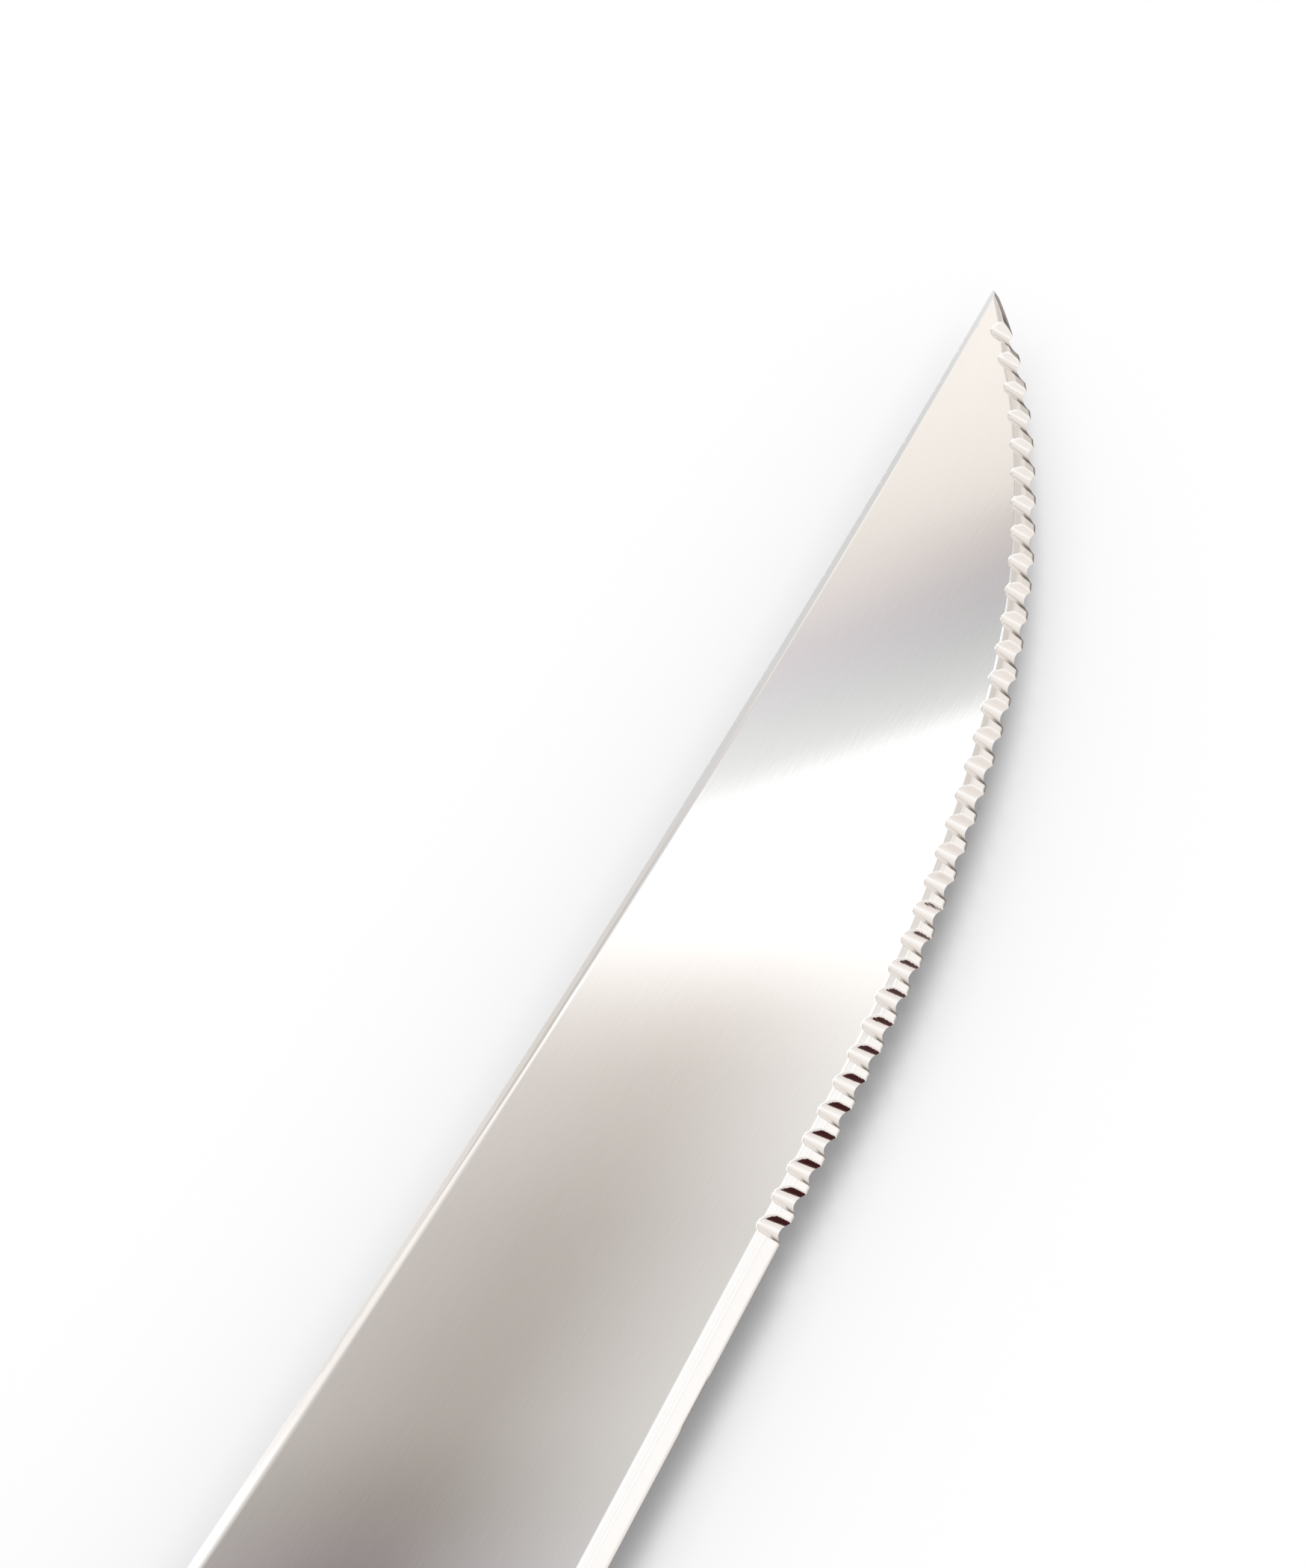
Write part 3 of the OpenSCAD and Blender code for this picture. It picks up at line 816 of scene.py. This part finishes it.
def shades(rows):
    """Steps of position and a plain factor."""
    return [(position, (factor, factor, factor)) for position, factor in rows]


# Tones of the ceiling over rise, past the window, the same on the belly's side, and before it,
# and the glow towards the spine over across
UPPER = tones([
    (0.412, None), (0.418, 235, 0), (0.434, 220, 0), (0.450, MAUVE_LIGHT), (0.476, 230),
    (0.495, 240), (0.530, 250)])
UPPER_BELLY = tones([
    (0.412, None), (0.418, 220, 0), (0.439, 195, 0), (0.455, MAUVE_MIDDLE), (0.472, 205),
    (0.482, 230), (0.500, 240), (0.530, 250)])
LOWER = tones([
    (0.150, 195, 0.8), (0.216, MAUVE_DARK), (0.238, 155), (0.256, 175), (0.300, 187), (0.335, 208),
    (0.348, 225), (0.362, 255, 0.7), (0.370, None)])
SPINE_GLOW = shades([(0.006, 0.0), (0.016, 0.09), (0.032, 0.23), (0.16, 0.4), (0.45, 0.9)])

# Tones of the walls and of the belly's side, over the angle in degrees
WALLS = tones([
    (45, 232), (58, 240, 0.8), (68, 250, 0.5), (78, 254, 0.2), (83, 244, 0.75), (104, 237),
    (119.2, 228), (120.5, (145, 130, 125)), (121.6, (90, 72, 72)), (126, (70, 42, 42)),
    (131, (58, 25, 25)), (142, 120), (180, 160)])
BELLY_SHINE = tones([
    (20, 228), (46, 232), (52, 238, 0.8), (57, 250, 0.5), (61, None), (74, None),
    (82, 238, 0.6), (110, 222, 0.6), (180, 232, 0.6)])

# Tones of the spine's side over dx, then the bands of the belly's side and what stands in
# for the floor, both over dz
SPINE_STRIP = tones([
    (0.27, 232, 0.8), (0.31, 218, 0.8), (0.337, 214, 0.4), (0.37, 211, 0), (0.405, 213, 0),
    (0.43, 232, 0), (0.5, 236, 0)])
SPINE_LIGHT = tones([
    (-1, 150), (-0.5, 205, 0.6), (0, 225, 0.6), (0.17, 238, 0.6), (0.205, None), (0.225, None),
    (0.24, 250, 0.5), (0.255, 244, 0.6), (0.27, 249, 0.6)])
BANDS = shades([
    (0.1, 0.8), (0.21, 0.76), (0.31, 1.0), (0.41, 1.0), (0.49, 0.84), (0.57, 0.8), (0.64, 0.88),
    (0.74, 0.86)])
BELOW = tones([
    (-1.0, 128), (-0.79, 152), (-0.72, 112), (-0.63, 108), (-0.55, 130), (-0.46, 165),
    (-0.38, 195), (-0.3, 215), (-0.2, 225)])

# Where the mirrored room divides, by the direction dx, dy, dz of a ray
CEILING_START, CEILING_END, CEILING_LOW = 0.74, 0.84, 0.86
ACROSS_ZERO, ACROSS_LIMIT, RISE_SLANT, TOP_SLANT = 0.19, 0.04, 0.58, 0.62
SPINE_FROM, WALL_TILT = 0.25, -46.0
LIT_SLANT, LIT_LOW, LIT_START, LIT_END = -8.0, 0.38, -1.68, -1.58

world = bpy.data.worlds.new("studio")
bpy.context.scene.world = world
g = Graph(world)
direction = g.out("ShaderNodeTexCoord", output="Generated")
dx, dy, dz = list(g.node("ShaderNodeSeparateXYZ", {0: direction}).outputs)[:3]


def ceiling_room():
    """Overhead: rise runs along the knife to the tip, across to the spine, both as slopes."""
    high = g.math("MAXIMUM", dz, CEILING_LOW)
    across = g.math("SUBTRACT", g.math("DIVIDE", dy, high), ACROSS_ZERO)
    lean = g.math("DIVIDE", dx, high)
    flat_across = g.math("MINIMUM", across, ACROSS_LIMIT)
    rise = g.math("MULTIPLY_ADD", flat_across, RISE_SLANT, lean)
    rise_top = g.math("MULTIPLY_ADD", flat_across, TOP_SLANT, rise)
    belly_glow = g.math("MULTIPLY", g.range(across, -0.003, -0.06),
                        g.range(rise, 0.3, 0.36, 0.68, 1.1))
    belly_glow = g.math("MAXIMUM", belly_glow, g.range(across, -0.055, -0.12))
    lower = g.mix(belly_glow, g.spread(rise, LOWER), WHITE4)
    lower = g.mix(g.spread(across, SPINE_GLOW), lower, (*tone(250, 0.6), 1))
    tip_side = g.step(g.math("MULTIPLY_ADD", across, 0.4, lean), 0.44, 0.465)
    rim = g.mix(tip_side, WHITE4, (*tone(220), 1))
    upper = g.mix(g.range(across, 0.024, -0.004), g.spread(rise_top, UPPER),
                  g.spread(rise_top, UPPER_BELLY))
    upper = g.mix(g.range(across, -0.04, -0.12), upper, rim)
    return g.mix(g.step(rise, 0.384, 0.386), lower, upper)


def spine_room():
    """The spine's side: dx tells how far along the blade, dz how far down its rounding."""
    dip = g.math("MULTIPLY", g.step(dz, 0.45, 0.65), g.step(dx, 0.352, 0.332))
    strip = g.mix(dip, g.spread(dx, SPINE_STRIP), (*tone(200, 0.8), 1))
    edge = g.math("MULTIPLY_ADD", dx, LIT_SLANT, g.math("MAXIMUM", dz, LIT_LOW))
    return g.mix(g.step(edge, LIT_START, LIT_END), strip, g.spread(dx, SPINE_LIGHT))


def side_room():
    """All round: the angle is 0 towards the tip and 90 towards the belly's side."""
    angle = g.math("ARCTAN2", g.math("MULTIPLY", dy, -1.0), dx)
    angle = g.math("MULTIPLY", angle, 180 / math.pi)
    belly_side = g.math("MULTIPLY_ADD", g.math("MINIMUM", dz, 0.0), WALL_TILT, angle)
    is_spine = g.math("GREATER_THAN", dy, SPINE_FROM)
    is_belly = g.math("SUBTRACT", 1.0, is_spine)
    around = g.mix(is_spine, g.spread(belly_side, WALLS), spine_room())
    shine = g.mix(1.0, g.spread(angle, BELLY_SHINE), g.spread(dz, BANDS), "MULTIPLY")
    around = g.mix(g.math("MULTIPLY", g.step(dz, 0.1, 0.35), is_belly), around, shine)
    under = g.math("MULTIPLY", g.step(dz, -0.15, -0.3), g.step(angle, 75, 50))
    return g.mix(g.math("MULTIPLY", under, is_belly), around, g.spread(dz, BELOW))


mirrored = g.mix(g.step(dz, CEILING_START, CEILING_END), side_room(), ceiling_room())
rays = g.node("ShaderNodeLightPath").outputs
room = g.out("ShaderNodeBackground", {"Color": PURE_WHITE, "Strength": ROOM_LEVEL})
backdrop = g.out("ShaderNodeBackground", {"Color": PURE_WHITE, "Strength": 1.0})
gloss_level = g.range(rays["Diffuse Depth"], 0.0, 1.0, GLOSS_LEVEL, GLOSS_AFTER_MATT)
gloss = g.out("ShaderNodeBackground", {"Color": mirrored, "Strength": gloss_level})
lit = g.out("ShaderNodeMixShader", {0: rays["Is Glossy Ray"], 1: room, 2: gloss})
lit = g.out("ShaderNodeMixShader", {0: seen_straight(g), 1: lit, 2: backdrop})
g.surface(lit, "ShaderNodeOutputWorld")


# Lamps, which gloss doesn't see
LAMP_AIM = Vector((0.1, 0, 0))


def softbox(name, place, size, watts):
    data = bpy.data.lights.new(name, "AREA")
    data.shape, data.size, data.size_y, data.energy = "RECTANGLE", size, size, watts
    lamp = bpy.data.objects.new(name, data)
    bpy.context.scene.collection.objects.link(lamp)
    lamp.location = place
    lamp.rotation_mode = "QUATERNION"
    lamp.rotation_quaternion = (LAMP_AIM - Vector(place)).to_track_quat("-Z", "Y")
    lamp.visible_glossy = False


softbox("window", (0.19, 0.08, 1.0), 0.28, 3.5)
softbox("skylight", (-0.04, 0.0, 1.0), 0.95, 3.2)

bpy.context.scene.view_settings.view_transform = "Standard"
